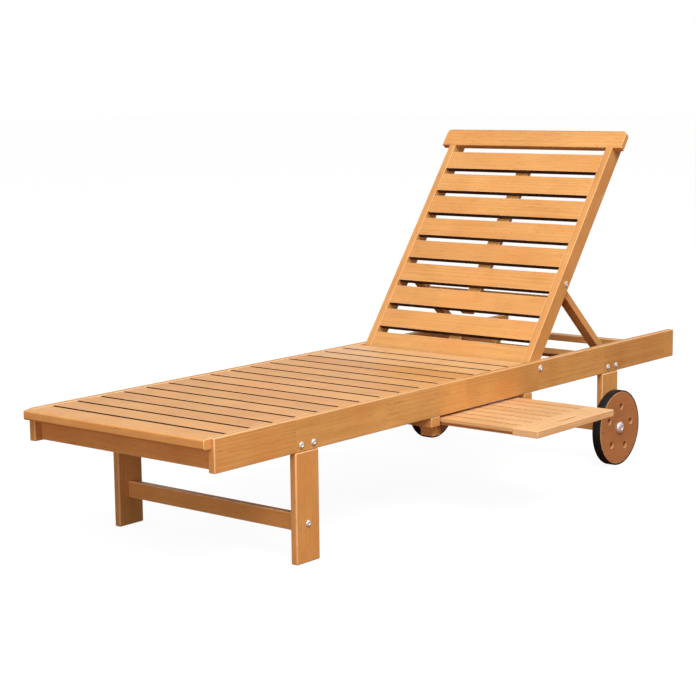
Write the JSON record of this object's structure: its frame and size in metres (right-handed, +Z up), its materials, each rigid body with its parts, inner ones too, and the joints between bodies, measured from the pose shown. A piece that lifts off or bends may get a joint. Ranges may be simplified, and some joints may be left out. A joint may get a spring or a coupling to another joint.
{
  "type": "reclining sun lounger",
  "caption": "Slatted hardwood sun lounger with a propped reclining backrest, two wheels under the head end and a slatted side tray that slides out from under the seat.",
  "frame": {"origin": "centre of the bounding box on the floor, raised pose with the tray out", "axes": "+X towards the head end, -Y the side the tray comes out on, +Z up"},
  "size_m": [1.999, 0.9222, 0.9303],
  "materials": {
    "oiled_hardwood": "oiled, low sheen",
    "seat_hardwood": "oiled, low sheen, lighter upward faces",
    "zinc_steel": "bright zinc plated",
    "tyre_rubber": "smooth black rubber"
  },
  "bodies": {
    "frame": {"rail_left": "oiled_hardwood", "front_leg_left": "oiled_hardwood", "back_leg_left": "oiled_hardwood", "rack_left": "oiled_hardwood", "seat_ledger_left": "oiled_hardwood", "backrest_bolt_left": "zinc_steel", "rail_right": "oiled_hardwood", "front_leg_right": "oiled_hardwood", "back_leg_right": "oiled_hardwood", "rack_right": "oiled_hardwood", "seat_ledger_right": "oiled_hardwood", "backrest_bolt_right": "zinc_steel", "front_stretcher": "oiled_hardwood", "rear_stretcher": "oiled_hardwood", "foot_apron": "oiled_hardwood", "head_cross_rail": "oiled_hardwood", "tray_runner_foot": "oiled_hardwood", "tray_runner_head": "oiled_hardwood", "seat_slat_01": "seat_hardwood", "seat_slat_02": "seat_hardwood", "seat_slat_03": "seat_hardwood", "seat_slat_04": "seat_hardwood", "seat_slat_05": "seat_hardwood", "seat_slat_06": "seat_hardwood", "seat_slat_07": "seat_hardwood", "seat_slat_08": "seat_hardwood", "seat_slat_09": "seat_hardwood", "seat_slat_10": "seat_hardwood", "seat_slat_11": "seat_hardwood", "seat_slat_12": "seat_hardwood", "seat_slat_13": "seat_hardwood", "seat_slat_14": "seat_hardwood", "seat_slat_15": "seat_hardwood", "seat_slat_16": "seat_hardwood", "axle": "zinc_steel"},
    "backrest": {"stile_left": "oiled_hardwood", "stile_right": "oiled_hardwood", "backrest_cap": "oiled_hardwood", "upper_batten": "oiled_hardwood", "lower_batten": "oiled_hardwood", "prop_bolt_left": "zinc_steel", "prop_bolt_right": "zinc_steel", "backrest_slat_1": "oiled_hardwood", "backrest_slat_2": "oiled_hardwood", "backrest_slat_3": "oiled_hardwood", "backrest_slat_4": "oiled_hardwood", "backrest_slat_5": "oiled_hardwood", "backrest_slat_6": "oiled_hardwood", "backrest_slat_7": "oiled_hardwood", "backrest_slat_8": "oiled_hardwood", "backrest_slat_9": "oiled_hardwood"},
    "prop": {"prop_arm_left": "oiled_hardwood", "prop_arm_right": "oiled_hardwood", "prop_cross_rail": "oiled_hardwood", "foot_bar": "oiled_hardwood"},
    "tray": {"tray_panel": "seat_hardwood"},
    "wheel_left": {"wheel_disc_left": "oiled_hardwood", "tyre_left": "tyre_rubber"},
    "wheel_right": {"wheel_disc_right": "oiled_hardwood", "tyre_right": "tyre_rubber"}
  },
  "joints": [
    {"name": "backrest_recline", "type": "hinge", "parent": "frame", "child": "backrest", "pos_m": [0.2889, 0.12185, 0.321], "axis": [0, 1, 0], "range_deg": [0, 52.05]},
    {"name": "prop_swing", "type": "hinge", "parent": "backrest", "child": "prop", "pos_m": [0.44905, 0.12185, 0.52826], "axis": [0, 1, 0], "range_deg": [-90, 1]},
    {"name": "tray_slide", "type": "slide", "parent": "frame", "child": "tray", "axis": [0, 1, 0], "range_m": [0, 0.281]},
    {"name": "wheel_left_spin", "type": "hinge", "parent": "frame", "child": "wheel_left", "pos_m": [0.646, -0.19815, 0.106], "axis": [0, 1, 0], "continuous": true},
    {"name": "wheel_right_spin", "type": "hinge", "parent": "frame", "child": "wheel_right", "pos_m": [0.646, 0.44185, 0.106], "axis": [0, 1, 0], "continuous": true}
  ],
  "couplings": [
    {"joint": "prop_swing", "follows": "backrest_recline", "ratio": -1.7045}
  ]
}
